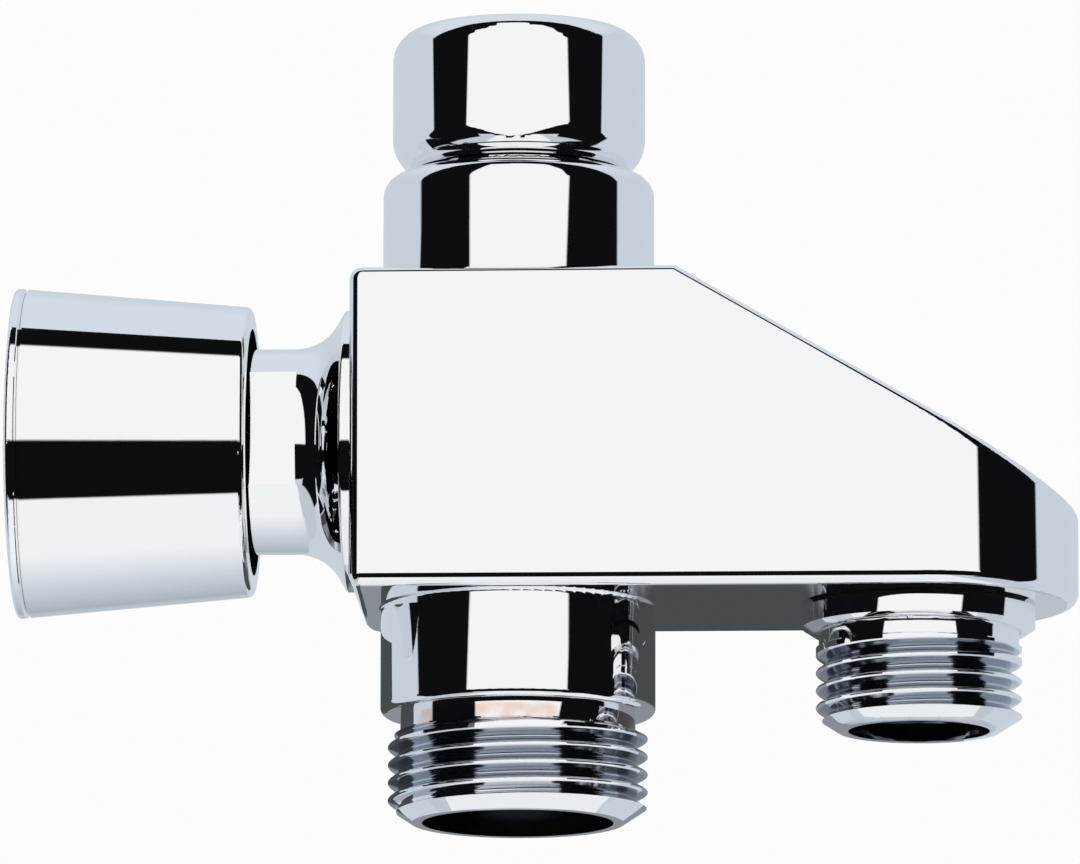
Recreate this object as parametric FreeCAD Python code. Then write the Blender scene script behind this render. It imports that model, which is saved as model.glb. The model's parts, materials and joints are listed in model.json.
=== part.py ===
import FreeCAD, Part
import math
import os

V = FreeCAD.Vector
X_AXIS = V(1, 0, 0)
Y_AXIS = V(0, 1, 0)
Z_AXIS = V(0, 0, 1)

# Frame: +Z up along the riser axis, +X towards the hose outlet, the flat front faces -Y,
# origin at the centre of the lower spigot's end face. All sizes are millimetres.

# Shared clearances and the shortest length that counts
fit_gap = 0.1
cut_overrun = 1.0
length_tolerance = 1e-6

# Body casting
body_height = 32.75
body_depth = 32.5
body_left_reach = 16.4
top_flat_reach = 16.6
slope_deg = 30.0
hose_reach = 40.8
body_edge_round = 1.3
back_corner_round = 3.0

# Lower spigot, G 3/4 male
spigot_drop = 22.0
spigot_collar_dia = 28.0
spigot_collar_drop = 11.0
spigot_collar_round = 0.8
spigot_root_round = 0.3
lower_thread_dia = 26.441
lower_relief_depth = 1.25
lower_relief_width = 1.7
lower_end_taper = 2.4
lower_end_height = 1.6
lower_bore_dia = 19.5
lower_bore_depth = 17.0
lower_passage_dia = 15.0

# Riser collar and spigot
riser_collar_dia = 27.7
riser_collar_height = 11.95
riser_collar_round = 2.2
riser_spigot_dia = 17.2
riser_spigot_height = 6.6
riser_passage_dia = 12.5

# Riser union nut, G 1/2 female
nut_across_flats = 24.9
nut_corner_round = 9.5
nut_height = 14.6
nut_gap = 0.4
nut_shoulder_round = 3.3
nut_crown_dia = 21.4
nut_crown_deg = 20.0
nut_foot_round = 3.9
nut_foot_dia = 21.6
nut_foot_deg = 30.0
nut_lip_height = 2.6
nut_lip_clearance = 0.15
nut_thread_dia = 18.632
nut_relief_depth = 1.25
nut_mouth_chamfer = 0.8

# Retaining ring and gasket of the union nut
ring_wire_dia = 1.2
ring_groove_depth = 0.6
ring_clearance = 0.1
ring_gap_deg = 25.0
riser_gasket_height = 1.8
riser_gasket_clearance = 0.2

# Diverter chamber and hose duct
chamber_dia = 22.0
chamber_reach = 12.4
duct_dia = 8.8
duct_drop = 6.2
duct_overrun = 2.0

# Sleeve, discs and rotor
seat_gasket_thickness = 1.0
disc_thickness = 2.4
disc_gap = 0.05
sleeve_wall = 1.9
window_dia = 10.0
port_inner_dia = 5.0
port_outer_dia = 13.6
port_sector_deg = 76.0
rotor_wall = 2.0
rotor_end_wall = 2.2
lug_width = 3.0
lug_depth = 1.2
sleeve_groove_depth = 1.0
sleeve_groove_width = 1.6
sleeve_groove_inset = 1.1

# Bonnet
bonnet_thread_dia = 23.2
bonnet_thread_depth = 7.5
bonnet_lead_chamfer = 0.6
bonnet_groove_depth = 1.1
bonnet_groove_width = 1.8
flange_dia = 28.8
flange_rim = 1.1
flange_rim_round = 0.4
flare_radius = 5.0
flare_deg = 60.0
neck_dia = 21.0
neck_reach = 17.6
neck_end_round = 0.6
spanner_across = 17.3
spanner_reach = 5.8
spanner_turn_deg = -7.0

# Spindle and what holds it
shaft_dia = 8.0
shaft_gap = 0.05
thrust_flange_dia = 16.4
thrust_flange_thickness = 2.0
thrust_gap = 0.1
drive_square = 6.0
spindle_groove_depth = 1.0
spindle_groove_width = 1.4
spindle_groove_pitch = 4.0
spindle_groove_inset = 4.0
knob_square = 5.4
washer_thickness = 0.6
washer_dia = 14.0
circlip_thickness = 0.8
circlip_groove_depth = 0.7
circlip_width = 1.9
circlip_gap_deg = 60.0
circlip_shoulder = 1.0

# Quarter-turn stop
quarter_turn_deg = 90.0
stop_pin_dia = 2.0
stop_pin_radius = 6.2
stop_pin_hold = 3.0
stop_margin_deg = 1.5

# Knob
knob_gap = 10.7
knob_length = 24.1
knob_mouth_dia = 29.6
knob_end_dia = 33.8
knob_dome = 1.1
knob_edge_round = 0.4
knob_mouth_round = 0.7
knob_wall = 2.2
knob_hub_dia = 13.0
knob_web = 2.6
knob_cap_rim = 1.1
knob_cap_groove = 0.25
cap_gap = 0.05
knob_cap_dia = 20.0
knob_cap_skin = 1.6
knob_cap_wall = 1.4

# Knob screw
screw_dia = 3.2
screw_hole_dia = 3.8
screw_head_dia = 7.0
screw_head_height = 2.4
screw_head_round = 0.8
screw_head_gap = 0.3
screw_length = 9.0
screw_slot_width = 1.0
screw_slot_length = 4.9
screw_slot_depth = 1.1

# Hose nipple, G 1/2 male
hose_drop = 12.8
nipple_flange_dia = 23.7
nipple_flange_height = 1.9
nipple_flange_taper = 1.0
nipple_flange_slope = 0.65
hose_thread_dia = 20.955
hose_relief_depth = 0.3
hose_relief_width = 1.3
hose_end_taper = 2.2
hose_end_height = 1.4
hose_mouth_dia = 14.4
hose_mouth_depth = 2.0
hose_hex_across = 12.0
hose_hex_depth = 7.0
hose_hex_turn_deg = 30.0
nipple_shank_dia = 18.0
nipple_shank_length = 8.4
nipple_throat_dia = 10.4
nipple_throat_height = 1.2
nipple_gasket_height = 0.3
nipple_gasket_width = 1.7

# Check valve in the hose nipple
check_pocket_dia = 14.4
check_lid_gap = 0.4
check_wall = 1.5
check_hub_dia = 6.2
check_web_width = 1.3
check_web_height = 2.2
check_web_count = 3
check_seat_dia = 6.8
check_seat_height = 1.6
check_groove_depth = 0.9
check_groove_width = 1.4
poppet_dia = 9.0
poppet_thickness = 1.4
poppet_seal_dia = 8.6
poppet_seal_height = 0.8
poppet_seal_gap = 0.05
poppet_stem_dia = 2.0
poppet_stem_gap = 0.15
poppet_stem_grip = 1.6
spring_dia = 5.2
spring_wire = 0.5
spring_turns = 4.0
spring_wire_sides = 8
spring_end_gap = 0.03

# Levels along Z that follow from the sizes above
body_bottom = spigot_drop
body_top = body_bottom + body_height
knob_axis = body_bottom + body_height / 2
collar_top = body_top + riser_collar_height
riser_top = collar_top + riser_spigot_height
nut_foot = collar_top + nut_gap
nut_top = nut_foot + nut_height
ring_level = nut_foot + nut_lip_height + ring_clearance + ring_wire_dia / 2
hose_end = body_bottom - hose_drop
nipple_top = body_bottom + nipple_shank_length
hex_top = hose_end + hose_hex_depth
check_foot = hex_top + nipple_throat_height
check_top = nipple_top - check_lid_gap
hub_top = check_foot + check_web_height
seal_top = check_top - check_seat_height - poppet_seal_gap
poppet_top = seal_top - poppet_seal_height
poppet_foot = poppet_top - poppet_thickness

# Places along X, from the chamber's end towards the knob
half_depth = body_depth / 2
body_left = -body_left_reach
seat_gasket_left = chamber_reach - seat_gasket_thickness
seat_disc_left = seat_gasket_left - disc_thickness
moving_disc_right = seat_disc_left - disc_gap
moving_disc_left = moving_disc_right - disc_thickness
bonnet_inner = body_left + bonnet_thread_depth
rotor_left = bonnet_inner + fit_gap
rotor_hollow_left = rotor_left + rotor_end_wall
thrust_right = bonnet_inner - thrust_gap
thrust_left = thrust_right - thrust_flange_thickness
recess_left = thrust_left - thrust_gap
neck_end = body_left - neck_reach
washer_right = neck_end - thrust_gap / 2
washer_left = washer_right - washer_thickness
circlip_right = washer_left - thrust_gap / 2
circlip_left = circlip_right - circlip_thickness
shaft_end = circlip_left - circlip_shoulder
knob_mouth = body_left - knob_gap
knob_rim = knob_mouth - knob_length
knob_apex = knob_rim - knob_dome
cap_joint = knob_rim + knob_cap_rim
cap_inner = knob_apex + knob_cap_skin
web_left = cap_inner + screw_head_gap + screw_head_height
web_right = web_left + knob_web
spindle_end = web_right + fit_gap

# Diameters that follow from the fits
sleeve_outer = chamber_dia - 2 * fit_gap
sleeve_inner = sleeve_outer - 2 * sleeve_wall
rotor_outer = sleeve_inner - 2 * fit_gap
rotor_inner = rotor_outer - 2 * rotor_wall
bonnet_thread_outer = bonnet_thread_dia - 2 * fit_gap
recess_dia = thrust_flange_dia + 4 * fit_gap
shaft_bore = shaft_dia + 2 * shaft_gap
check_outer = check_pocket_dia - 2 * fit_gap
check_inner = check_outer - 2 * check_wall

# Port angles round the knob axis: 0 is +Y, 90 is up, 180 is the front
riser_port_deg = 90.0
hose_port_deg = 270.0
rotor_port_deg = hose_port_deg - quarter_turn_deg


def rounded_wire(points, place):
    """Closed wire through (a, b) or (a, b, radius) corners, each rounded by its own radius."""
    flat = [V(p[0], p[1], 0) for p in points]
    radii = [p[2] if len(p) > 2 else 0.0 for p in points]
    count = len(flat)
    corners = []
    for i, corner in enumerate(flat):
        back = (flat[i - 1] - corner).normalize()
        ahead = (flat[(i + 1) % count] - corner).normalize()
        if radii[i] == 0:
            corners.append((corner, None, corner))
            continue
        half = back.getAngle(ahead) / 2
        reach = radii[i] / math.tan(half)
        centre = corner + (back + ahead).normalize() * (radii[i] / math.sin(half))
        middle = centre + (corner - centre).normalize() * radii[i]
        corners.append((corner + back * reach, middle, corner + ahead * reach))
    edges = []
    for i, (start, middle, end) in enumerate(corners):
        if middle is not None:
            edges.append(Part.Arc(place(start), place(middle), place(end)).toShape())
        following = corners[(i + 1) % count][0]
        if (following - end).Length > length_tolerance:
            edges.append(Part.LineSegment(place(end), place(following)).toShape())
    return Part.Wire(edges)


def outward(solid):
    """The same solid with its faces turned outward."""
    if solid.Volume < 0:
        solid.reverse()
    return solid


def turned_z(points, x=0.0):
    """Piece turned about a vertical axis at x, from (radius, z) corners."""
    wire = rounded_wire(points, lambda p: V(x + p.x, 0, p.y))
    return outward(Part.Face(wire).revolve(V(x, 0, 0), Z_AXIS, 360))


def turned_x(points):
    """Piece turned about the knob axis, from (x, radius) corners."""
    wire = rounded_wire(points, lambda p: V(p.x, p.y, knob_axis))
    return outward(Part.Face(wire).revolve(V(0, 0, knob_axis), X_AXIS, 360))


def rod_x(dia, x0, x1, z=knob_axis):
    return Part.makeCylinder(dia / 2, x1 - x0, V(x0, 0, z), X_AXIS)


def rod_z(dia, z0, z1, x=0.0):
    return Part.makeCylinder(dia / 2, z1 - z0, V(x, 0, z0), Z_AXIS)


def tube_x(outer, inner, x0, x1):
    return turned_x([(x0, inner / 2), (x1, inner / 2), (x1, outer / 2), (x0, outer / 2)])


def tube_z(outer, inner, z0, z1, x=0.0):
    return turned_z([(inner / 2, z0), (outer / 2, z0), (outer / 2, z1), (inner / 2, z1)], x)


def square_x(side, x0, x1):
    return Part.makeBox(x1 - x0, side, side, V(x0, -side / 2, knob_axis - side / 2))


def hexagon_z(across, z0, z1, x=0.0, corner_round=0.0, turn_deg=0.0):
    """Upright hexagonal prism, with a flat facing the front unless it is turned."""
    corner = across / 2 / math.cos(math.radians(30))
    points = []
    for i in range(6):
        turn = math.radians(60 * i + turn_deg)
        points.append((corner * math.cos(turn), corner * math.sin(turn), corner_round))
    face = Part.Face(rounded_wire(points, lambda p: V(x + p.x, p.y, z0)))
    return outward(face.extrude(V(0, 0, z1 - z0)))


def o_ring_x(inner, section, x):
    return Part.makeTorus((inner + section) / 2, section / 2, V(x, 0, knob_axis), X_AXIS)


def sector_x(inner, outer, x0, x1, middle_deg, span_deg):
    """Sector of a ring round the knob axis."""
    corners = [(x0, inner / 2), (x1, inner / 2), (x1, outer / 2), (x0, outer / 2)]
    face = Part.Face(rounded_wire(corners, lambda p: V(p.x, p.y, knob_axis)))
    solid = outward(face.revolve(V(0, 0, knob_axis), X_AXIS, span_deg))
    solid.rotate(V(0, 0, knob_axis), X_AXIS, middle_deg - span_deg / 2)
    return solid


# Body casting
def is_rim(edge):
    """True for the edges round the underside, the top and the slope, not for uprights or the crest."""
    box = edge.BoundBox
    upright = box.XLength < length_tolerance and box.YLength < length_tolerance
    at_crest = abs(box.XMin - top_flat_reach) < length_tolerance
    crest = at_crest and box.XLength < length_tolerance
    return not upright and not crest


def nose_block():
    """Flat-fronted block with a half-round nose and a sloping top, before its collars and bores."""
    nose = hose_reach + half_depth
    outline = rounded_wire(
        [
            (body_left, -half_depth, body_edge_round),
            (nose, -half_depth, half_depth),
            (nose, half_depth, half_depth),
            (body_left, half_depth, back_corner_round),
        ],
        lambda p: V(p.x, p.y, body_bottom),
    )
    block = outward(Part.Face(outline).extrude(V(0, 0, body_height)))
    far = nose + body_depth
    drop = (far - top_flat_reach) * math.tan(math.radians(slope_deg))
    above = [
        (top_flat_reach, body_top),
        (far, body_top - drop),
        (far, body_top + body_height),
        (top_flat_reach, body_top + body_height),
    ]
    wedge = Part.Face(rounded_wire(above, lambda p: V(p.x, -body_depth, p.y)))
    block = block.cut(wedge.extrude(V(0, 2 * body_depth, 0)))
    return block.makeFillet(body_edge_round, [e for e in block.Edges if is_rim(e)])


def spigot_solid():
    """Lower collar, thread relief and thread, with a small root fillet into the underside."""
    collar_r = spigot_collar_dia / 2
    root_r = collar_r + spigot_root_round
    thread_r = lower_thread_dia / 2
    relief_r = thread_r - lower_relief_depth
    collar_foot = body_bottom - spigot_collar_drop
    relief_foot = collar_foot - lower_relief_width
    inside = body_bottom + 2 * body_edge_round
    return turned_z(
        [
            (0, 0),
            (thread_r - lower_end_taper, 0),
            (thread_r, lower_end_height),
            (thread_r, relief_foot - lower_relief_depth / 2),
            (relief_r, relief_foot),
            (relief_r, collar_foot),
            (collar_r, collar_foot, spigot_collar_round),
            (collar_r, body_bottom, spigot_root_round),
            (root_r, body_bottom),
            (root_r, inside),
            (0, inside),
        ]
    )


def riser_solid():
    """Riser collar and the spigot that carries the union nut."""
    collar_r = riser_collar_dia / 2
    spigot_r = riser_spigot_dia / 2
    inside = body_top - 2 * body_edge_round
    return turned_z(
        [
            (0, inside),
            (collar_r, inside),
            (collar_r, collar_top, riser_collar_round),
            (spigot_r, collar_top),
            (spigot_r, riser_top),
            (0, riser_top),
        ]
    )


def lower_port():
    """Bore of the lower spigot and its cone up to the narrower passage."""
    bore_r = lower_bore_dia / 2
    passage_r = lower_passage_dia / 2
    return turned_z(
        [
            (0, -cut_overrun),
            (bore_r, -cut_overrun),
            (bore_r, lower_bore_depth),
            (passage_r, lower_bore_depth + bore_r - passage_r),
            (passage_r, knob_axis),
            (0, knob_axis),
        ]
    )


def valve_body():
    solid = nose_block().fuse([spigot_solid(), riser_solid()]).removeSplitter()
    duct_level = knob_axis - duct_drop
    ring_bottom = riser_spigot_dia - 2 * ring_groove_depth
    ring_half = ring_wire_dia / 2
    pocket_dia = nipple_shank_dia + 2 * fit_gap
    cuts = [
        lower_port(),
        rod_z(riser_passage_dia, knob_axis, riser_top + cut_overrun),
        rod_x(chamber_dia, body_left - cut_overrun, chamber_reach),
        rod_x(bonnet_thread_dia, body_left - cut_overrun, bonnet_inner),
        rod_x(duct_dia, chamber_reach - cut_overrun, hose_reach + duct_overrun, duct_level),
        rod_z(pocket_dia, body_bottom - cut_overrun, nipple_top + fit_gap, hose_reach),
        rod_z(duct_dia, body_bottom, duct_level, hose_reach),
        tube_z(riser_collar_dia, ring_bottom, ring_level - ring_half, ring_level + ring_half),
    ]
    return solid.cut(cuts)


# Riser union nut, its retaining ring and its gasket
def riser_nut():
    corner = (nut_across_flats / 2 - nut_corner_round) / math.cos(math.radians(30)) + nut_corner_round
    crown_r = nut_crown_dia / 2
    foot_r = nut_foot_dia / 2
    bar = hexagon_z(nut_across_flats, nut_foot, nut_top, corner_round=nut_corner_round)
    crown_fall = (corner - crown_r) * math.tan(math.radians(nut_crown_deg))
    foot_rise = (corner - foot_r) * math.tan(math.radians(nut_foot_deg))
    envelope = turned_z(
        [
            (0, nut_foot),
            (foot_r, nut_foot),
            (corner, nut_foot + foot_rise, nut_foot_round),
            (corner, nut_top - crown_fall, nut_shoulder_round),
            (crown_r, nut_top),
            (0, nut_top),
        ]
    )
    blank = bar.common(envelope)
    lip_r = riser_spigot_dia / 2 + nut_lip_clearance
    lip_top = nut_foot + nut_lip_height
    thread_r = nut_thread_dia / 2
    relief_r = thread_r + nut_relief_depth
    relief_top = riser_top + riser_gasket_height + fit_gap
    mouth_r = thread_r + nut_mouth_chamfer
    hole = turned_z(
        [
            (0, nut_foot - cut_overrun),
            (lip_r, nut_foot - cut_overrun),
            (lip_r, lip_top),
            (relief_r, lip_top),
            (relief_r, relief_top - nut_relief_depth),
            (thread_r, relief_top),
            (thread_r, nut_top - nut_mouth_chamfer),
            (mouth_r, nut_top),
            (mouth_r, nut_top + cut_overrun),
            (0, nut_top + cut_overrun),
        ]
    )
    return blank.cut(hole)


def retaining_ring():
    """Split wire ring in the riser spigot's groove."""
    middle = riser_spigot_dia / 2 - ring_groove_depth + ring_wire_dia / 2
    section = Part.Wire(Part.makeCircle(ring_wire_dia / 2, V(middle, 0, ring_level), Y_AXIS))
    return outward(Part.Face(section).revolve(V(0, 0, 0), Z_AXIS, 360 - ring_gap_deg))


def riser_gasket():
    outer = nut_thread_dia - 2 * riser_gasket_clearance
    return tube_z(outer, riser_passage_dia, riser_top, riser_top + riser_gasket_height)


# Sleeve, discs and rotor in the diverter chamber
def ported_disc(dia, x0, x1, port_deg):
    start = x0 - cut_overrun
    end = x1 + cut_overrun
    port = sector_x(port_inner_dia, port_outer_dia, start, end, port_deg, port_sector_deg)
    return rod_x(dia, x0, x1).cut(port)


def seat_gasket():
    return ported_disc(sleeve_outer, seat_gasket_left, chamber_reach, hose_port_deg)


def seat_disc():
    return ported_disc(sleeve_outer, seat_disc_left, seat_gasket_left, hose_port_deg)


def lug_bars(x0, x1, width, inner):
    """Two bars across the rotor's rim, a quarter turn either side of its port."""
    bars = []
    for side_deg in (-90, 90):
        bar = Part.makeBox(x1 - x0, rotor_outer, width, V(x0, inner / 2, knob_axis - width / 2))
        bar.rotate(V(0, 0, knob_axis), X_AXIS, rotor_port_deg + side_deg)
        bars.append(bar)
    return bars


def moving_disc():
    disc = ported_disc(rotor_outer, moving_disc_left, moving_disc_right, rotor_port_deg)
    notch_end = moving_disc_left + lug_depth + fit_gap
    notch_width = lug_width + 2 * fit_gap
    notch_inner = rotor_inner - 2 * fit_gap
    return disc.cut(lug_bars(moving_disc_left - cut_overrun, notch_end, notch_width, notch_inner))


def rotor():
    """Barrel with windows above, below and in front, and two lugs that drive the moving disc."""
    barrel = tube_x(rotor_outer, rotor_inner, rotor_hollow_left, moving_disc_left)
    end_wall = rod_x(rotor_outer, rotor_left, rotor_hollow_left)
    lug_span = (moving_disc_left - lug_depth, moving_disc_left + lug_depth)
    rim = rod_x(rotor_outer, *lug_span)
    lugs = [rim.common(bar) for bar in lug_bars(*lug_span, lug_width, rotor_inner)]
    solid = barrel.fuse([end_wall] + lugs).removeSplitter()
    upright = rod_z(window_dia, knob_axis - chamber_dia, knob_axis + chamber_dia)
    front = Part.makeCylinder(window_dia / 2, chamber_dia, V(0, 0, knob_axis), -Y_AXIS)
    socket_side = drive_square + 2 * fit_gap
    socket = square_x(socket_side, rotor_left - cut_overrun, rotor_hollow_left + cut_overrun)
    return solid.cut([upright, front, socket])


def sleeve_groove_middles():
    from_end = sleeve_groove_inset + sleeve_groove_width / 2
    return [bonnet_inner + from_end, seat_disc_left - from_end]


def sleeve():
    tube = tube_x(sleeve_outer, sleeve_inner, bonnet_inner, seat_disc_left)
    windows = rod_z(window_dia, knob_axis - chamber_dia, knob_axis + chamber_dia)
    half = sleeve_groove_width / 2
    bottom = sleeve_outer - 2 * sleeve_groove_depth
    grooves = [tube_x(chamber_dia, bottom, x - half, x + half) for x in sleeve_groove_middles()]
    return tube.cut([windows] + grooves)


def sleeve_o_rings():
    inner = sleeve_outer - 2 * sleeve_groove_depth
    rings = [o_ring_x(inner, sleeve_groove_depth, x) for x in sleeve_groove_middles()]
    return Part.makeCompound(rings)


# Bonnet with its seal and the quarter-turn stop
def bonnet_groove():
    """Bottom diameter and middle of the groove behind the bonnet's flange."""
    return bonnet_thread_outer - 2 * bonnet_groove_depth, body_left + bonnet_groove_width


def stop_pin():
    place = V(recess_left - stop_pin_hold, 0, knob_axis + stop_pin_radius)
    length = stop_pin_hold + thrust_gap + thrust_flange_thickness
    return Part.makeCylinder(stop_pin_dia / 2, length, place, X_AXIS)


def spanner_flats():
    """What the two spanner flats take off the neck, turned as the thread happens to stop."""
    start = neck_end - cut_overrun
    end = body_left - spanner_reach
    cuts = []
    for side_deg in (0, 180):
        corner = V(start, spanner_across / 2, knob_axis - neck_dia / 2)
        cut = Part.makeBox(end - start, neck_dia / 2, neck_dia, corner)
        cut.rotate(V(0, 0, knob_axis), X_AXIS, spanner_turn_deg + side_deg)
        cuts.append(cut)
    return cuts


def bonnet():
    thread_r = bonnet_thread_outer / 2
    flange_r = flange_dia / 2
    neck_r = neck_dia / 2
    rim_left = body_left - flange_rim
    flare_foot = rim_left - (flange_r - neck_r) / math.tan(math.radians(flare_deg))
    turned = turned_x(
        [
            (bonnet_inner, recess_dia / 2),
            (bonnet_inner, thread_r - bonnet_lead_chamfer),
            (bonnet_inner - bonnet_lead_chamfer, thread_r),
            (body_left, thread_r),
            (body_left, flange_r),
            (rim_left, flange_r, flange_rim_round),
            (flare_foot, neck_r, flare_radius),
            (neck_end, neck_r, neck_end_round),
            (neck_end, shaft_bore / 2),
            (recess_left, shaft_bore / 2),
            (recess_left, recess_dia / 2),
        ]
    )
    bottom, middle = bonnet_groove()
    half = bonnet_groove_width / 2
    groove = tube_x(bonnet_thread_dia, bottom, middle - half, middle + half)
    return turned.cut([groove, stop_pin()] + spanner_flats())


def bonnet_seal():
    bottom, middle = bonnet_groove()
    return o_ring_x(bottom, bonnet_groove_depth, middle)


# Spindle with its seals, washer and circlip
def spindle_groove_middles():
    first = recess_left - spindle_groove_inset
    return [first, first - spindle_groove_pitch]


def spindle():
    shaft = rod_x(shaft_dia, shaft_end, thrust_left)
    flange = rod_x(thrust_flange_dia, thrust_left, thrust_right)
    dog = square_x(drive_square, thrust_right, rotor_hollow_left)
    tang = square_x(knob_square, spindle_end, shaft_end)
    solid = shaft.fuse([flange, dog, tang])
    pin_half_deg = math.degrees(math.asin(stop_pin_dia / 2 / stop_pin_radius)) + stop_margin_deg
    slot_inner = 2 * stop_pin_radius - stop_pin_dia - 2 * fit_gap
    slot = sector_x(
        slot_inner,
        recess_dia,
        thrust_left,
        thrust_right,
        riser_port_deg - quarter_turn_deg / 2,
        quarter_turn_deg + 2 * pin_half_deg,
    )
    half = spindle_groove_width / 2
    bottom = shaft_dia - 2 * spindle_groove_depth
    cuts = [tube_x(shaft_bore, bottom, x - half, x + half) for x in spindle_groove_middles()]
    cuts.append(tube_x(shaft_bore, shaft_dia - 2 * circlip_groove_depth, circlip_left, circlip_right))
    screw_tip = web_left + screw_length
    cuts.append(rod_x(screw_dia + fit_gap, spindle_end - cut_overrun, screw_tip + cut_overrun))
    cuts.append(slot)
    return solid.cut(cuts)


def spindle_o_rings():
    inner = shaft_dia - 2 * spindle_groove_depth
    rings = [o_ring_x(inner, spindle_groove_depth, x) for x in spindle_groove_middles()]
    return Part.makeCompound(rings)


def thrust_washer():
    return tube_x(washer_dia, shaft_dia + 2 * fit_gap, washer_left, washer_right)


def circlip():
    inner = shaft_dia - 2 * circlip_groove_depth
    outer = inner + 2 * circlip_width
    return sector_x(inner, outer, circlip_left, circlip_right, riser_port_deg, 360 - circlip_gap_deg)


# Knob, its cap and its screw
def knob_ball():
    """Large ball whose surface gives the knob's end its slight dome."""
    rim_r = knob_end_dia / 2
    ball_r = (rim_r**2 + knob_dome**2) / (2 * knob_dome)
    return Part.makeSphere(ball_r, V(knob_apex + ball_r, 0, knob_axis))


def knob_blank():
    """Tapered outer form of the knob, with a domed end and rounded edges."""
    end_r = knob_end_dia / 2
    mouth_r = knob_mouth_dia / 2
    taper = (end_r - mouth_r) / knob_length
    beyond = knob_dome + cut_overrun
    cone = turned_x(
        [
            (knob_mouth, 0),
            (knob_mouth, mouth_r, knob_mouth_round),
            (knob_rim - beyond, end_r + taper * beyond),
            (knob_rim - beyond, 0),
        ]
    )
    domed = cone.common(knob_ball())
    near_rim = [e for e in domed.Edges if abs(e.BoundBox.XMax - knob_rim) < knob_dome / 2]
    return domed.makeFillet(knob_edge_round, [e for e in near_rim if e.Length > end_r])


def cap_groove():
    """Shallow V round the joint between the knob and its cap."""
    joint_r = knob_end_dia / 2 - (knob_end_dia - knob_mouth_dia) / 2 * knob_cap_rim / knob_length
    flank = knob_cap_groove + cut_overrun
    return turned_x(
        [
            (cap_joint, joint_r - knob_cap_groove),
            (cap_joint - flank, joint_r + cut_overrun),
            (cap_joint + flank, joint_r + cut_overrun),
        ]
    )


def knob():
    hub_end = shaft_end - fit_gap
    cavity = tube_x(knob_mouth_dia - 2 * knob_wall, knob_hub_dia, web_right, knob_mouth + cut_overrun)
    mouth = rod_x(knob_mouth_dia - 2 * knob_wall, hub_end, knob_mouth + cut_overrun)
    socket = square_x(knob_square + 2 * fit_gap, web_right, knob_mouth)
    cap_room = rod_x(2 * knob_end_dia, knob_apex - cut_overrun, cap_joint + cap_gap)
    cap_seat = rod_x(knob_cap_dia, knob_apex - cut_overrun, web_left)
    screw_hole = rod_x(screw_hole_dia, web_left - cut_overrun, web_right + cut_overrun)
    return knob_blank().cut([cavity, mouth, socket, cap_room, cap_groove(), cap_seat, screw_hole])


def knob_cap():
    """Domed end plate with a skirt that seats on the knob's web round the screw head."""
    outer = knob_cap_dia - 2 * fit_gap
    beyond_joint = rod_x(2 * knob_end_dia, cap_joint, knob_mouth + cut_overrun)
    plate = knob_blank().cut([beyond_joint, cap_groove()])
    skirt = rod_x(outer, cap_joint, web_left)
    hollow = rod_x(outer - 2 * knob_cap_wall, cap_inner, web_left + cut_overrun)
    return plate.fuse(skirt).removeSplitter().cut(hollow)


def knob_screw():
    head_left = web_left - screw_head_height
    head_r = screw_head_dia / 2
    turned = turned_x(
        [
            (web_left + screw_length, 0),
            (web_left + screw_length, screw_dia / 2),
            (web_left, screw_dia / 2),
            (web_left, head_r),
            (head_left, head_r, screw_head_round),
            (head_left, 0),
        ]
    )
    slots = []
    arms = [(screw_slot_width, screw_slot_length), (screw_slot_length, screw_slot_width)]
    for across, along in arms:
        corner = V(head_left, -across / 2, knob_axis - along / 2)
        slots.append(Part.makeBox(screw_slot_depth, across, along, corner))
    return turned.cut(slots)


# Hose nipple and its gasket
def hose_nipple():
    """Flanged nipple with a key socket in its mouth and a pocket for the check valve above it."""
    flange_r = nipple_flange_dia / 2
    flange_top = body_bottom - nipple_gasket_height
    flange_foot = flange_top - nipple_flange_height
    neck_top = flange_foot - nipple_flange_slope
    thread_r = hose_thread_dia / 2
    relief_r = thread_r - hose_relief_depth
    relief_foot = neck_top - hose_relief_width
    shank_r = nipple_shank_dia / 2
    turned = turned_z(
        [
            (0, hose_end),
            (thread_r - hose_end_taper, hose_end),
            (thread_r, hose_end + hose_end_height),
            (thread_r, relief_foot - hose_relief_depth / 2),
            (relief_r, relief_foot),
            (relief_r, neck_top),
            (flange_r - nipple_flange_taper, neck_top),
            (flange_r, flange_foot),
            (flange_r, flange_top),
            (shank_r, flange_top),
            (shank_r, nipple_top),
            (0, nipple_top),
        ],
        hose_reach,
    )
    cuts = [
        rod_z(hose_mouth_dia, hose_end - cut_overrun, hose_end + hose_mouth_depth, hose_reach),
        hexagon_z(hose_hex_across, hose_end, hex_top, hose_reach, turn_deg=hose_hex_turn_deg),
        rod_z(nipple_throat_dia, hose_end, nipple_top, hose_reach),
        rod_z(check_pocket_dia, check_foot, nipple_top + cut_overrun, hose_reach),
    ]
    return turned.cut(cuts)


def nipple_gasket():
    inner = nipple_shank_dia + 2 * fit_gap
    outer = inner + 2 * nipple_gasket_width
    return tube_z(outer, inner, body_bottom - nipple_gasket_height, body_bottom, hose_reach)


# Check valve
def check_groove_level():
    return check_top - check_seat_height - check_groove_width


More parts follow.
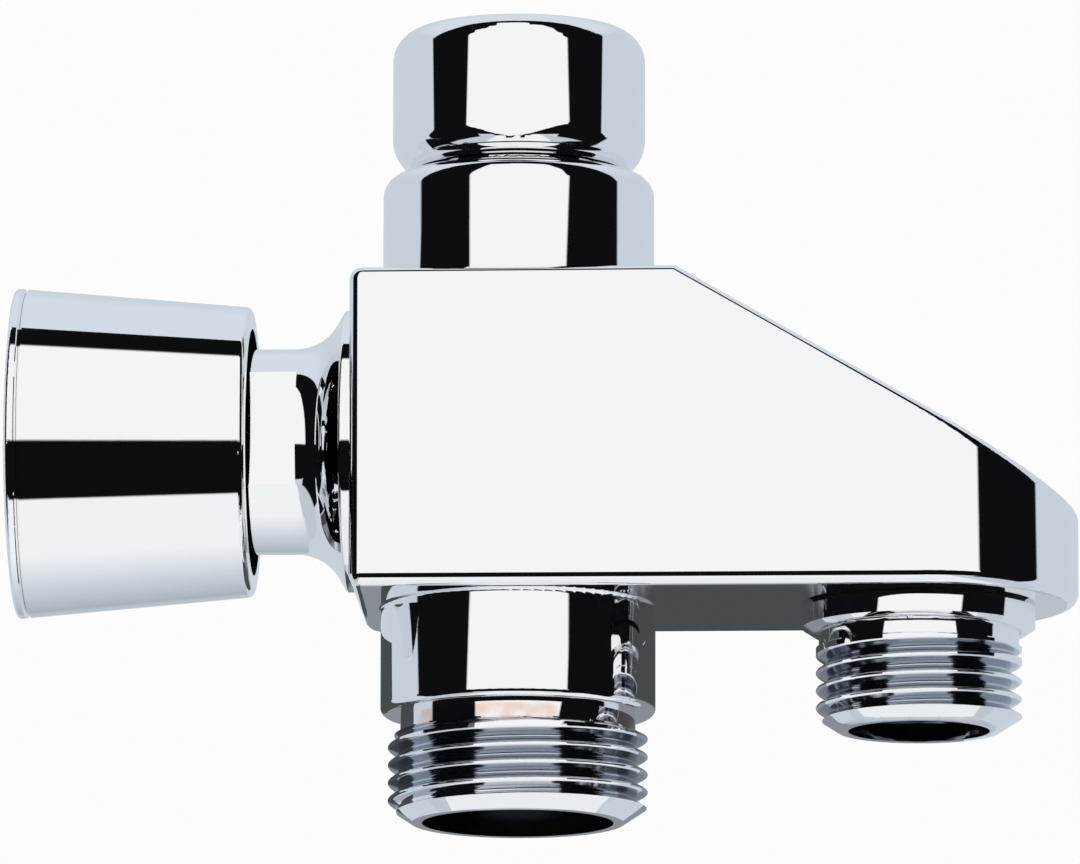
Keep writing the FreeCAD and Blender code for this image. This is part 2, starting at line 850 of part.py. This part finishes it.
def check_housing():
    """Cage with a seat plate on top and a webbed guide for the poppet's stem below."""
    cage = tube_z(check_outer, check_inner, check_foot, check_top, hose_reach)
    plate = tube_z(check_outer, check_seat_dia, check_top - check_seat_height, check_top, hose_reach)
    webs = [rod_z(check_hub_dia, check_foot, hub_top, hose_reach)]
    web_length = (check_outer + check_inner) / 4
    for i in range(check_web_count):
        web = Part.makeBox(web_length, check_web_width, check_web_height, V(0, -check_web_width / 2, 0))
        web.rotate(V(0, 0, 0), Z_AXIS, 90 + 360 * i / check_web_count)
        web.translate(V(hose_reach, 0, check_foot))
        webs.append(web)
    stem_dia = poppet_stem_dia + 2 * poppet_stem_gap
    stem_hole = rod_z(stem_dia, check_foot - cut_overrun, hub_top + cut_overrun, hose_reach)
    level = check_groove_level()
    half = check_groove_width / 2
    bottom = check_outer - 2 * check_groove_depth
    groove = tube_z(check_pocket_dia, bottom, level - half, level + half, hose_reach)
    return cage.fuse([plate] + webs).cut([stem_hole, groove]).removeSplitter()


def check_o_ring():
    bottom = check_outer - 2 * check_groove_depth
    middle = (bottom + check_groove_depth) / 2
    return Part.makeTorus(middle, check_groove_depth / 2, V(hose_reach, 0, check_groove_level()), Z_AXIS)


def check_poppet():
    stem_foot = hub_top - poppet_stem_grip
    disc = rod_z(poppet_dia, poppet_foot, poppet_top, hose_reach)
    stem = rod_z(poppet_stem_dia, stem_foot, poppet_foot, hose_reach)
    return disc.fuse(stem)


def poppet_seal():
    return rod_z(poppet_seal_dia, poppet_top, seal_top, hose_reach)


def check_spring():
    """Coil between the guide and the poppet, its round wire drawn with flat sides."""
    half_wire = spring_wire / 2
    low = hub_top + spring_end_gap + half_wire
    high = poppet_foot - spring_end_gap - half_wire
    radius = spring_dia / 2
    helix = Part.makeHelix((high - low) / spring_turns, high - low, radius)
    corners = []
    for i in range(spring_wire_sides + 1):
        turn = math.tau * i / spring_wire_sides
        corners.append(V(radius + half_wire * math.cos(turn), 0, half_wire * math.sin(turn)))
    coil = Part.Wire(helix).makePipeShell([Part.makePolygon(corners)], True, True)
    coil.translate(V(hose_reach, 0, low))
    return outward(coil)


NODES = {
    "valve_body": valve_body,
    "riser_nut": riser_nut,
    "retaining_ring": retaining_ring,
    "riser_gasket": riser_gasket,
    "bonnet": bonnet,
    "bonnet_seal": bonnet_seal,
    "stop_pin": stop_pin,
    "sleeve": sleeve,
    "sleeve_o_rings": sleeve_o_rings,
    "seat_disc": seat_disc,
    "seat_gasket": seat_gasket,
    "moving_disc": moving_disc,
    "rotor": rotor,
    "spindle": spindle,
    "spindle_o_rings": spindle_o_rings,
    "thrust_washer": thrust_washer,
    "circlip": circlip,
    "knob": knob,
    "knob_cap": knob_cap,
    "knob_screw": knob_screw,
    "hose_nipple": hose_nipple,
    "nipple_gasket": nipple_gasket,
    "check_housing": check_housing,
    "check_o_ring": check_o_ring,
    "check_poppet": check_poppet,
    "poppet_seal": poppet_seal,
    "check_spring": check_spring,
}

os.makedirs("parts", exist_ok=True)
for name, make in NODES.items():
    shape = make()
    shape.exportStep(f"parts/{name}.step")
    print(name, round(shape.Volume, 1), len(shape.Solids), shape.isValid())
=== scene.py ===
import json
import math

import bmesh
import bpy
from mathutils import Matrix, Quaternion, Vector


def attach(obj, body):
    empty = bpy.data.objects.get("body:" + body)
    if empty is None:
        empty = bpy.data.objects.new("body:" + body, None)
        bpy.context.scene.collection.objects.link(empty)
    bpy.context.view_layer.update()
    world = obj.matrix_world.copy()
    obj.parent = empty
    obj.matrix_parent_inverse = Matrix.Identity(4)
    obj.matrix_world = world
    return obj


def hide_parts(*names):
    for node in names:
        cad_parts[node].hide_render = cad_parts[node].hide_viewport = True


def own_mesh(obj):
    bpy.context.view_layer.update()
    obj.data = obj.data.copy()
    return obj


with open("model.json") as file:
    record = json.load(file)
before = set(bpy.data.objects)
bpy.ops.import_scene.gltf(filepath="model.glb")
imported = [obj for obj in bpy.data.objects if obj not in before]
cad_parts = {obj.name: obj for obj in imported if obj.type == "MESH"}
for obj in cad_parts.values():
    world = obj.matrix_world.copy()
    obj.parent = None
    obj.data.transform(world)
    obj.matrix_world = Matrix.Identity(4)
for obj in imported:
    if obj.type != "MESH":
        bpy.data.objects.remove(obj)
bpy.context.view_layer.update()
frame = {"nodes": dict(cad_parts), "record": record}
NODES = frame["nodes"]

MM = 0.001

# Camera, set by the photo's framing
CAMERA_AZIMUTH = math.radians(2.8)
CAMERA_ELEVATION = math.radians(-9.7)
CAMERA_ROLL = math.radians(0.1)
CAMERA_DISTANCE = 1.5
FRAME_WIDTH = 0.1102
SENSOR_WIDTH = 36.0
TARGET = Vector((0.0022, 0.0, 0.0403))

# Studio seen in the chrome: linear colours
CLEAN_WHITE = (0.97, 0.97, 0.98)
PALE_GREY = (0.61, 0.665, 0.735)
CEILING_GREY = (0.7, 0.755, 0.82)
FLAG_BLACK = (0.004, 0.0045, 0.006)
LOW_GREY = (0.55, 0.6, 0.66)
BACKGROUND_WHITE = (0.98, 0.98, 0.98)

# Angles at which the studio's panels end, in degrees
PANEL_HALF_DEG = 42.0
FLAG_OUTER_DEG = 93.0
PANEL_TOP_DEG = 73.0
FLAG_TOP_DEG = 89.0
PANEL_FOOT_DEG = 0.0
TABLE_EDGE_DEG = -42.0
EDGE_SOFT_DEG = 1.2
CEILING_FROM_DEG = 40.0
CEILING_FADE_DEG = 15.0

# Light below, as (angle under the horizon from the front round to the back, colour)
TABLE_LIGHT = [
    (-166.0, (0.5, 0.55, 0.6)),
    (-159.0, (0.42, 0.46, 0.51)),
    (-123.0, (0.61, 0.66, 0.72)),
    (-86.0, (0.93, 0.95, 0.97)),
]
TABLE_SPREAD = 0.46
TABLE_SOFT = 0.06

# Soft overhead light
LIGHT_SIZE = 0.9
LIGHT_POWER = 4.5
LIGHT_PLACE = (-0.25, -0.35, 0.95)

# Floor, just under the spigot's end
FLOOR_RADIUS = 3.0
FLOOR_SIDES = 128
FLOOR_DROP = 0.05 * MM
FLOOR_WHITE = (0.93, 0.93, 0.93)

# Low dark card round the back of the spigot, which the spigot's sides and the underside mirror
CARD_X = (-0.0195, 0.045)
CARD_Y = 0.025
CARD_LEFT_Y = -0.0005
CARD_LEFT_TOP = 0.019
CARD_RETURN_Y = 0.013
CARD_Z = (-0.005, 0.024)
CARD_GREY = (0.066, 0.072, 0.077)
CARD_EDGE_GREY = (0.26, 0.28, 0.31)
CARD_DARK_FROM_X = -0.010
CARD_DARK_FROM_Z = 0.0135
CARD_FADE = 0.0025
CARD_LEFT_BAND = 0.5 * MM
CARD_LEFT_FADE = 0.2 * MM

# White card under the ports, which their end cones mirror
LOW_CARD_X = (-0.022, 0.066)
LOW_CARD_Y = (-0.04, 0.02)
LOW_CARD_Z = -0.03
LOW_CARD_WHITE = (0.87, 0.9, 0.93)

# Noise that the finishes share
NOISE_RANGE = (0.3, 0.7)
DRIFT_DETAIL = 3.0
GRAIN_DETAIL = 4.0

# Chrome plate
PLATE_COLOURS = ((0.915, 0.92, 0.93), (0.935, 0.94, 0.95))
PLATE_ROUGHNESS = (0.015, 0.035)
PLATE_DRIFT_SCALE = 140.0
PLATE_GRAIN_SCALE = 220.0
PLATE_GRAIN_HEIGHT = 0.0025 * MM

# Where the plate is rougher, in the threads' valleys, with painted shade darkening its colour there
BETWEEN_PORTS = 25.0 * MM
BETWEEN_SOFT = 0.1 * MM
SPIGOT_THREAD = (1.7 * MM, 9.0 * MM)
NIPPLE_THREAD = (10.7 * MM, 17.8 * MM)
THREAD_SOFT = 0.05 * MM
VALLEY_DEPTH = 0.24 * MM
VALLEY_SHADE_GREY = (0.51, 0.545, 0.6)
VALLEY_ROUGHNESS = 0.07

# Where the plate is thin, in the relief above the spigot's thread
SPIGOT_RELIEF_TOP = 10.6 * MM
RELIEF_SOFT = 0.2 * MM
COPPER = (0.86, 0.68, 0.58)
COPPER_SCALE = 330.0
COPPER_DETAIL = 2.0
COPPER_FROM = 0.54
COPPER_SOFT = 0.14

# Other finishes, by material slot
FINISHES = {
    "brass": dict(
        name="turned_brass",
        metallic=1.0,
        colours=((0.62, 0.44, 0.18), (0.76, 0.58, 0.28)),
        roughness=(0.2, 0.34),
        grain_scale=2600.0,
        grain_height=0.004 * MM,
        drift_scale=400.0,
    ),
    "steel": dict(
        name="bright_steel",
        metallic=1.0,
        colours=((0.5, 0.5, 0.51), (0.6, 0.6, 0.61)),
        roughness=(0.2, 0.32),
        grain_scale=3000.0,
        grain_height=0.004 * MM,
        drift_scale=500.0,
    ),
    "rubber": dict(
        name="black_rubber",
        metallic=0.0,
        colours=((0.018, 0.018, 0.019), (0.03, 0.03, 0.031)),
        roughness=(0.55, 0.75),
        grain_scale=2400.0,
        grain_height=0.03 * MM,
        drift_scale=300.0,
    ),
    "ceramic": dict(
        name="lapped_ceramic",
        metallic=0.0,
        colours=((0.8, 0.79, 0.76), (0.87, 0.86, 0.83)),
        roughness=(0.12, 0.22),
        grain_scale=1800.0,
        grain_height=0.004 * MM,
        drift_scale=350.0,
    ),
    "pale_plastic": dict(
        name="pale_plastic",
        metallic=0.0,
        colours=((0.74, 0.74, 0.7), (0.8, 0.8, 0.77)),
        roughness=(0.38, 0.5),
        grain_scale=2000.0,
        grain_height=0.012 * MM,
        drift_scale=260.0,
    ),
    "dark_plastic": dict(
        name="dark_plastic",
        metallic=0.0,
        colours=((0.035, 0.037, 0.04), (0.05, 0.052, 0.056)),
        roughness=(0.35, 0.48),
        grain_scale=2000.0,
        grain_height=0.012 * MM,
        drift_scale=260.0,
    ),
}

# Pipe threads, 14 to the inch: crest radii of the ports, and the nut's bore
SPIGOT_RADIUS = 13.2205 * MM
HOSE_RADIUS = 10.4775 * MM
HOSE_X = 40.8 * MM
NUT_RADIUS = 9.316 * MM
PITCH = 1.814 * MM
THREAD_DEPTH = 1.162 * MM
STEPS_PER_TURN = 96
RUN_OUT_TURNS = 0.4

# Levels at which each groove starts and ends
SPIGOT_GROOVE = (-1.4 * MM, 9.4 * MM)
HOSE_GROOVE = (7.9 * MM, 17.3 * MM)
NUT_GROOVE = (74.6 * MM, 83.0 * MM)

# Groove section as (depth below the crest, half width), both in millimetres
GROOVE_SECTION = [(-0.1, 0.89), (0.0, 0.85), (0.08, 0.74), (0.22, 0.63), (1.0, 0.22), (1.13, 0.11)]

# Meshes of the new pieces
WELD_DISTANCE = 1e-7
SHARP_ANGLE = math.radians(33)


# Node helpers
def node_tree(owner):
    owner.use_nodes = True
    owner.node_tree.nodes.clear()
    return owner.node_tree


class Graph:
    """Small helper that adds nodes to one tree and links them."""

    def __init__(self, tree):
        self.tree = tree

    def add(self, kind, **values):
        node = self.tree.nodes.new(kind)
        for key, value in values.items():
            setattr(node, key, value)
        return node

    def feed(self, socket, value):
        if isinstance(value, bpy.types.NodeSocket):
            self.tree.links.new(value, socket)
        else:
            socket.default_value = value

    def math(self, operation, first, second=None, third=None):
        node = self.add("ShaderNodeMath", operation=operation)
        for socket, value in zip(node.inputs, (first, second, third)):
            if value is not None:
                self.feed(socket, value)
        return node.outputs[0]

    def rest_of(self, value):
        """What is left of 1."""
        return self.math("SUBTRACT", 1.0, value)

    def dot(self, vector, direction):
        node = self.add("ShaderNodeVectorMath", operation="DOT_PRODUCT")
        self.feed(node.inputs[0], vector)
        self.feed(node.inputs[1], direction)
        return node.outputs["Value"]

    def step(self, value, edge, soft):
        """0 below the edge and 1 above it, with a soft change."""
        node = self.add("ShaderNodeMapRange", interpolation_type="SMOOTHSTEP")
        self.feed(node.inputs["Value"], value)
        node.inputs["From Min"].default_value = edge - soft
        node.inputs["From Max"].default_value = edge + soft
        return node.outputs["Result"]

    def band(self, value, low, high, soft):
        """1 between the two edges and 0 outside them."""
        return self.math("SUBTRACT", self.step(value, low, soft), self.step(value, high, soft))

    def mix(self, factor, first, second):
        node = self.add("ShaderNodeMix", data_type="RGBA")
        self.feed(node.inputs["Factor"], factor)
        for name, colour in (("A", first), ("B", second)):
            socket = [s for s in node.inputs if s.name == name and s.type == "RGBA"][0]
            self.feed(socket, colour if isinstance(colour, bpy.types.NodeSocket) else (*colour, 1.0))
        return [s for s in node.outputs if s.type == "RGBA"][0]

    def ramp(self, value, stops):
        """Colour that follows the value through the stops."""
        first = stops[0][0]
        last = stops[-1][0]
        node = self.add("ShaderNodeValToRGB")
        place = self.math("DIVIDE", self.math("SUBTRACT", value, first), last - first)
        self.feed(node.inputs["Fac"], place)
        marks = node.color_ramp.elements
        while len(marks) < len(stops):
            marks.new(position=0.5)
        for mark, (at, colour) in zip(marks, stops):
            mark.position = (at - first) / (last - first)
            mark.color = (*colour, 1.0)
        return node.outputs["Color"]


# Camera
def make_camera():
    away = Vector(
        (
            math.sin(CAMERA_AZIMUTH) * math.cos(CAMERA_ELEVATION),
            -math.cos(CAMERA_AZIMUTH) * math.cos(CAMERA_ELEVATION),
            math.sin(CAMERA_ELEVATION),
        )
    )
    data = bpy.data.cameras.new("camera")
    data.sensor_width = SENSOR_WIDTH
    data.lens = SENSOR_WIDTH * CAMERA_DISTANCE / FRAME_WIDTH
    camera = bpy.data.objects.new("camera", data)
    camera.location = TARGET + away * CAMERA_DISTANCE
    camera.rotation_mode = "QUATERNION"
    level_view = (-away).to_track_quat("-Z", "Y")
    camera.rotation_quaternion = level_view @ Quaternion((0, 0, 1), CAMERA_ROLL)
    bpy.context.scene.collection.objects.link(camera)
    bpy.context.scene.camera = camera


# Studio: white panel in front, black flags round it, pale surround, white table below
def make_world():
    world = bpy.data.worlds.new("studio")
    bpy.context.scene.world = world
    graph = Graph(node_tree(world))
    soft = EDGE_SOFT_DEG
    direction = graph.add("ShaderNodeTexCoord").outputs["Generated"]
    forward = graph.dot(direction, (math.sin(CAMERA_AZIMUTH), -math.cos(CAMERA_AZIMUTH), 0))
    sideways = graph.dot(direction, (math.cos(CAMERA_AZIMUTH), math.sin(CAMERA_AZIMUTH), 0))
    upward = graph.dot(direction, (0, 0, 1))
    aside = graph.math("ABSOLUTE", sideways)
    turn = graph.math("DEGREES", graph.math("ARCTAN2", aside, forward))
    rise = graph.math("DEGREES", graph.math("ARCTAN2", upward, forward))
    level = graph.math("DEGREES", graph.math("ARCSINE", upward))

    in_panel_width = graph.rest_of(graph.step(turn, PANEL_HALF_DEG, soft))
    in_panel_height = graph.band(rise, PANEL_FOOT_DEG, PANEL_TOP_DEG, soft)
    panel = graph.math("MULTIPLY", in_panel_width, in_panel_height)
    flag_sides = graph.band(turn, PANEL_HALF_DEG, FLAG_OUTER_DEG, soft)
    overhead = graph.band(rise, PANEL_TOP_DEG, FLAG_TOP_DEG, soft)
    ahead = graph.rest_of(graph.step(turn, FLAG_OUTER_DEG, soft))
    under_panel = graph.band(rise, TABLE_EDGE_DEG, PANEL_FOOT_DEG, soft)
    below_front = graph.math("MULTIPLY", ahead, under_panel)

    spread_out = graph.math("DIVIDE", aside, graph.math("ABSOLUTE", upward))
    beside_table = graph.step(spread_out, TABLE_SPREAD, TABLE_SOFT)
    low = graph.rest_of(graph.step(level, TABLE_EDGE_DEG, soft))
    low_sides = graph.math("MULTIPLY", low, beside_table)
    below = graph.rest_of(graph.step(rise, TABLE_EDGE_DEG, soft))
    table = graph.math("MULTIPLY", below, graph.rest_of(beside_table))
    high = graph.step(level, CEILING_FROM_DEG, CEILING_FADE_DEG)

    colour = graph.mix(high, PALE_GREY, CEILING_GREY)
    colour = graph.mix(flag_sides, colour, FLAG_BLACK)
    colour = graph.mix(panel, colour, CLEAN_WHITE)
    colour = graph.mix(overhead, colour, FLAG_BLACK)
    colour = graph.mix(below_front, colour, FLAG_BLACK)
    colour = graph.mix(low_sides, colour, LOW_GREY)
    colour = graph.mix(table, colour, graph.ramp(rise, TABLE_LIGHT))
    from_camera = graph.add("ShaderNodeLightPath").outputs["Is Camera Ray"]
    colour = graph.mix(from_camera, colour, BACKGROUND_WHITE)
    background = graph.add("ShaderNodeBackground")
    graph.feed(background.inputs["Color"], colour)
    output = graph.add("ShaderNodeOutputWorld")
    graph.feed(output.inputs["Surface"], background.outputs["Background"])


# Soft overhead light that only shapes the floor's shadow and the dull pieces
def make_light():
    data = bpy.data.lights.new("overhead", "AREA")
    data.shape = "DISK"
    data.size = LIGHT_SIZE
    data.energy = LIGHT_POWER
    light = bpy.data.objects.new("overhead", data)
    light.location = LIGHT_PLACE
    light.rotation_mode = "QUATERNION"
    light.rotation_quaternion = (TARGET - light.location).to_track_quat("-Z", "Y")
    light.visible_camera = False
    light.visible_glossy = False
    bpy.context.scene.collection.objects.link(light)


# Pale floor under the spigot, open from below because the camera looks up at the part
def make_floor():
    mesh = bpy.data.meshes.new("floor")
    shape = bmesh.new()
    bmesh.ops.create_circle(shape, cap_ends=True, segments=FLOOR_SIDES, radius=FLOOR_RADIUS)
    shape.to_mesh(mesh)
    shape.free()
    floor = bpy.data.objects.new("floor", mesh)
    floor.location = (0, 0, -FLOOR_DROP)
    bpy.context.scene.collection.objects.link(floor)
    material = bpy.data.materials.new("floor")
    graph = Graph(node_tree(material))
    diffuse = graph.add("ShaderNodeBsdfDiffuse")
    diffuse.inputs["Color"].default_value = (*FLOOR_WHITE, 1.0)
    clear = graph.add("ShaderNodeBsdfTransparent")
    below = graph.add("ShaderNodeNewGeometry").outputs["Backfacing"]
    path = graph.add("ShaderNodeLightPath")
    opened = graph.math("MAXIMUM", below, path.outputs["Is Glossy Ray"])
    mix = graph.add("ShaderNodeMixShader")
    graph.feed(mix.inputs[0], opened)
    graph.feed(mix.inputs[1], diffuse.outputs[0])
    graph.feed(mix.inputs[2], clear.outputs[0])
    output = graph.add("ShaderNodeOutputMaterial")
    graph.feed(output.inputs["Surface"], mix.outputs[0])
    mesh.materials.append(material)


# Cards that only mirrors show
def mirror_card(name, corners, faces):
    mesh = bpy.data.meshes.new(name)
    mesh.from_pydata(corners, [], faces)
    card = bpy.data.objects.new(name, mesh)
    card.visible_camera = False
    card.visible_diffuse = False
    card.visible_shadow = False
    bpy.context.scene.collection.objects.link(card)
    material = bpy.data.materials.new(name)
    mesh.materials.append(material)
    graph = Graph(node_tree(material))
    glow = graph.add("ShaderNodeEmission")
    output = graph.add("ShaderNodeOutputMaterial")
    graph.feed(output.inputs["Surface"], glow.outputs[0])
    return graph, glow


def make_card():
    left, right = CARD_X
    foot, top = CARD_Z
    corners = [(left, CARD_LEFT_Y, foot), (left, CARD_LEFT_Y, CARD_LEFT_TOP)]
    for x, y in ((left, CARD_Y), (right, CARD_Y), (right, CARD_RETURN_Y)):
        corners += [(x, y, foot), (x, y, top)]
    graph, glow = mirror_card("card", corners, [(0, 2, 3, 1), (2, 4, 5, 3), (4, 6, 7, 5)])
    axes = graph.add("ShaderNodeSeparateXYZ")
    graph.feed(axes.inputs[0], graph.add("ShaderNodeTexCoord").outputs["Object"])
    x, _, z = axes.outputs
    inner = graph.step(x, CARD_DARK_FROM_X, CARD_FADE)
    upper = graph.step(z, CARD_DARK_FROM_Z, CARD_FADE)
    at_left = graph.rest_of(graph.step(x, left + CARD_LEFT_BAND, CARD_LEFT_FADE))
    dark = graph.math("MAXIMUM", graph.math("MULTIPLY", inner, upper), at_left)
    graph.feed(glow.inputs["Color"], graph.mix(dark, CARD_EDGE_GREY, CARD_GREY))


def make_low_card():
    left, right = LOW_CARD_X
    front, back = LOW_CARD_Y
    outline = ((left, front), (right, front), (right, back), (left, back))
    corners = [(x, y, LOW_CARD_Z) for x, y in outline]
    _, glow = mirror_card("low_card", corners, [(0, 1, 2, 3)])
    glow.inputs["Color"].default_value = (*LOW_CARD_WHITE, 1.0)


# Materials
def noise(graph, coordinates, scale, detail):
    texture = graph.add("ShaderNodeTexNoise")
    graph.feed(texture.inputs["Vector"], coordinates)
    texture.inputs["Scale"].default_value = scale
    texture.inputs["Detail"].default_value = detail
    return texture.outputs["Fac"]


def spread(graph, value, low, high):
    """The noise's usual range, laid out from low to high."""
    node = graph.add("ShaderNodeMapRange")
    graph.feed(node.inputs["Value"], value)
    node.inputs["From Min"].default_value = NOISE_RANGE[0]
    node.inputs["From Max"].default_value = NOISE_RANGE[1]
    node.inputs["To Min"].default_value = low
    node.inputs["To Max"].default_value = high
    return node.outputs["Result"]


def relief(graph, height, distance):
    bump = graph.add("ShaderNodeBump")
    bump.inputs["Strength"].default_value = 1.0
    bump.inputs["Distance"].default_value = distance
    graph.feed(bump.inputs["Height"], height)
    return bump.outputs["Normal"]


def finish(graph, metallic, colour, roughness, normal):
    """Shader of a finish, joined to the material's output."""
    shader = graph.add("ShaderNodeBsdfPrincipled")
    shader.inputs["Metallic"].default_value = metallic
    graph.feed(shader.inputs["Base Color"], colour)
    graph.feed(shader.inputs["Roughness"], roughness)
    graph.feed(shader.inputs["Normal"], normal)
    output = graph.add("ShaderNodeOutputMaterial")
    graph.feed(output.inputs["Surface"], shader.outputs["BSDF"])


def polished_chrome():
    """Mirror plate, rougher in the threads' valleys with painted shade darkening them there, and
    coppery above the spigot's thread.
    """
    material = bpy.data.materials.new("polished_chrome")
    graph = Graph(node_tree(material))
    place = graph.add("ShaderNodeTexCoord").outputs["Object"]
    axes = graph.add("ShaderNodeSeparateXYZ")
    graph.feed(axes.inputs[0], place)
    x, y, z = axes.outputs
    at_nipple = graph.step(x, BETWEEN_PORTS, BETWEEN_SOFT)
    at_spigot = graph.rest_of(at_nipple)
    shaded_valleys = 0.0
    for here, centre, radius, span in (
        (at_spigot, 0.0, SPIGOT_RADIUS, SPIGOT_THREAD),
        (at_nipple, HOSE_X, HOSE_RADIUS, NIPPLE_THREAD),
    ):
        across = graph.math("POWER", graph.math("SUBTRACT", x, centre), 2.0)
        squares = graph.math("ADD", across, graph.math("POWER", y, 2.0))
        depth = graph.math("SUBTRACT", radius, graph.math("SQRT", squares))
        deep = graph.step(depth, VALLEY_DEPTH, VALLEY_DEPTH / 2)
        zone = graph.math("MULTIPLY", here, graph.band(z, *span, THREAD_SOFT))
        shaded_valleys = graph.math("MULTIPLY_ADD", zone, deep, shaded_valleys)
    thin_zone = graph.band(z, SPIGOT_THREAD[1], SPIGOT_RELIEF_TOP, RELIEF_SOFT)
    worn = graph.step(noise(graph, place, COPPER_SCALE, COPPER_DETAIL), COPPER_FROM, COPPER_SOFT)
    thin = graph.math("MULTIPLY", at_spigot, graph.math("MULTIPLY", thin_zone, worn))
    drift = noise(graph, place, PLATE_DRIFT_SCALE, DRIFT_DETAIL)
    # painted shade: the plate's colour turns darker grey in the threads' valleys
    plate = graph.mix(shaded_valleys, graph.mix(drift, *PLATE_COLOURS), VALLEY_SHADE_GREY)
    gloss = spread(graph, drift, *PLATE_ROUGHNESS)
    dulled = graph.math("MULTIPLY_ADD", shaded_valleys, VALLEY_ROUGHNESS, gloss)
    grain = noise(graph, place, PLATE_GRAIN_SCALE, GRAIN_DETAIL)
    normal = relief(graph, grain, PLATE_GRAIN_HEIGHT)
    finish(graph, 1.0, graph.mix(thin, plate, COPPER), dulled, normal)
    return material


def surface(name, metallic, colours, roughness, grain_scale, grain_height, drift_scale):
    """Procedural finish: colour and gloss drift slowly, and a fine grain stands in the surface."""
    material = bpy.data.materials.new(name)
    graph = Graph(node_tree(material))
    place = graph.add("ShaderNodeTexCoord").outputs["Object"]
    drift = noise(graph, place, drift_scale, DRIFT_DETAIL)
    gloss = spread(graph, drift, *roughness)
    grain = noise(graph, place, grain_scale, GRAIN_DETAIL)
    normal = relief(graph, grain, grain_height)
    finish(graph, metallic, graph.mix(drift, *colours), gloss, normal)
    return material


def make_materials():
    made = {"chrome": polished_chrome()}
    for slot, values in FINISHES.items():
        made[slot] = surface(**values)
    return made


def dress(obj, material):
    obj.data.materials.clear()
    obj.data.materials.append(material)


# Threads
def groove_cutter(x, radius, start, end, inward):
    """Closed helical bar whose section is the groove of a pipe thread."""
    other_side = [(depth, -half) for depth, half in reversed(GROOVE_SECTION)]
    section = GROOVE_SECTION + [(THREAD_DEPTH / MM, 0.0)] + other_side
    sign = -1.0 if inward else 1.0
    steps = math.ceil((end - start) / PITCH * STEPS_PER_TURN)
    run_out_steps = RUN_OUT_TURNS * STEPS_PER_TURN
    shape = bmesh.new()
    rings = []
    for i in range(steps + 1):
        angle = math.tau * i / STEPS_PER_TURN
        level = start + PITCH * i / STEPS_PER_TURN
        lift = max(0.0, 1.0 - (steps - i) / run_out_steps) * THREAD_DEPTH
        ring = []
        for depth, half in section:
            r = radius + sign * (depth * MM - lift)
            corner = (x + r * math.cos(angle), r * math.sin(angle), level + half * MM)
            ring.append(shape.verts.new(corner))
        rings.append(ring)
    count = len(section)
    for first, second in zip(rings, rings[1:]):
        for k in range(count):
            n = (k + 1) % count
            shape.faces.new((first[k], first[n], second[n], second[k]))
    shape.faces.new(rings[0])
    shape.faces.new(rings[-1])
    bmesh.ops.recalc_face_normals(shape, faces=shape.faces)
    mesh = bpy.data.meshes.new("groove")
    shape.to_mesh(mesh)
    shape.free()
    cutter = bpy.data.objects.new("groove", mesh)
    bpy.context.scene.collection.objects.link(cutter)
    return cutter


def drop_stored_normals(mesh):
    """Lets the shading follow the mesh's own sharp edges."""
    stored = mesh.attributes.get("custom_normal")
    if stored:
        mesh.attributes.remove(stored)


def welded_copy(node, name):
    """The node's mesh as a new closed object."""
    mesh = NODES[node].data.copy()
    mesh.name = name
    shape = bmesh.new()
    shape.from_mesh(mesh)
    bmesh.ops.remove_doubles(shape, verts=shape.verts, dist=WELD_DISTANCE)
    bmesh.ops.recalc_face_normals(shape, faces=shape.faces)
    shape.to_mesh(mesh)
    shape.free()
    drop_stored_normals(mesh)
    copy = bpy.data.objects.new(name, mesh)
    bpy.context.scene.collection.objects.link(copy)
    return copy


def threaded(node, name, body, cutter, material):
    """Stands for the node, with the thread's groove cut into it."""
    piece = welded_copy(node, name)
    cut = piece.modifiers.new("groove", "BOOLEAN")
    cut.operation = "DIFFERENCE"
    cut.solver = "EXACT"
    cut.object = cutter
    depsgraph = bpy.context.evaluated_depsgraph_get()
    result = bpy.data.meshes.new_from_object(piece.evaluated_get(depsgraph))
    piece.modifiers.clear()
    piece.data = result
    result.name = name
    bpy.data.objects.remove(cutter)
    drop_stored_normals(result)
    result.polygons.foreach_set("use_smooth", [True] * len(result.polygons))
    result.set_sharp_from_angle(angle=SHARP_ANGLE)
    weighted = piece.modifiers.new("normals", "WEIGHTED_NORMAL")
    weighted.keep_sharp = True
    dress(piece, material)
    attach(piece, body)
    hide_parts(node)


# Spring of the check valve, as its own mesh on the housing
def pressed_spring(material):
    spring = welded_copy("check_spring", "coil_spring")
    dress(spring, material)
    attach(spring, "housing")
    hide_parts("check_spring")
    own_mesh(spring)


# Camera and studio
make_camera()
make_world()
make_light()
make_floor()
make_card()
make_low_card()

# Finishes on the parts
materials = make_materials()
chrome = materials["chrome"]
for subpart in frame["record"]["subparts"]:
    dress(NODES[subpart["node"]], materials[subpart["material_slot"]])

# Pieces that stand for plain parts
spigot_groove = groove_cutter(0.0, SPIGOT_RADIUS, *SPIGOT_GROOVE, inward=True)
threaded("valve_body", "body_with_thread", "housing", spigot_groove, chrome)
hose_groove = groove_cutter(HOSE_X, HOSE_RADIUS, *HOSE_GROOVE, inward=True)
threaded("hose_nipple", "nipple_with_thread", "housing", hose_groove, chrome)
nut_groove = groove_cutter(0.0, NUT_RADIUS, *NUT_GROOVE, inward=False)
threaded("riser_nut", "nut_with_thread", "riser_nut", nut_groove, chrome)
pressed_spring(materials["steel"])

bpy.context.scene.view_settings.view_transform = "Standard"
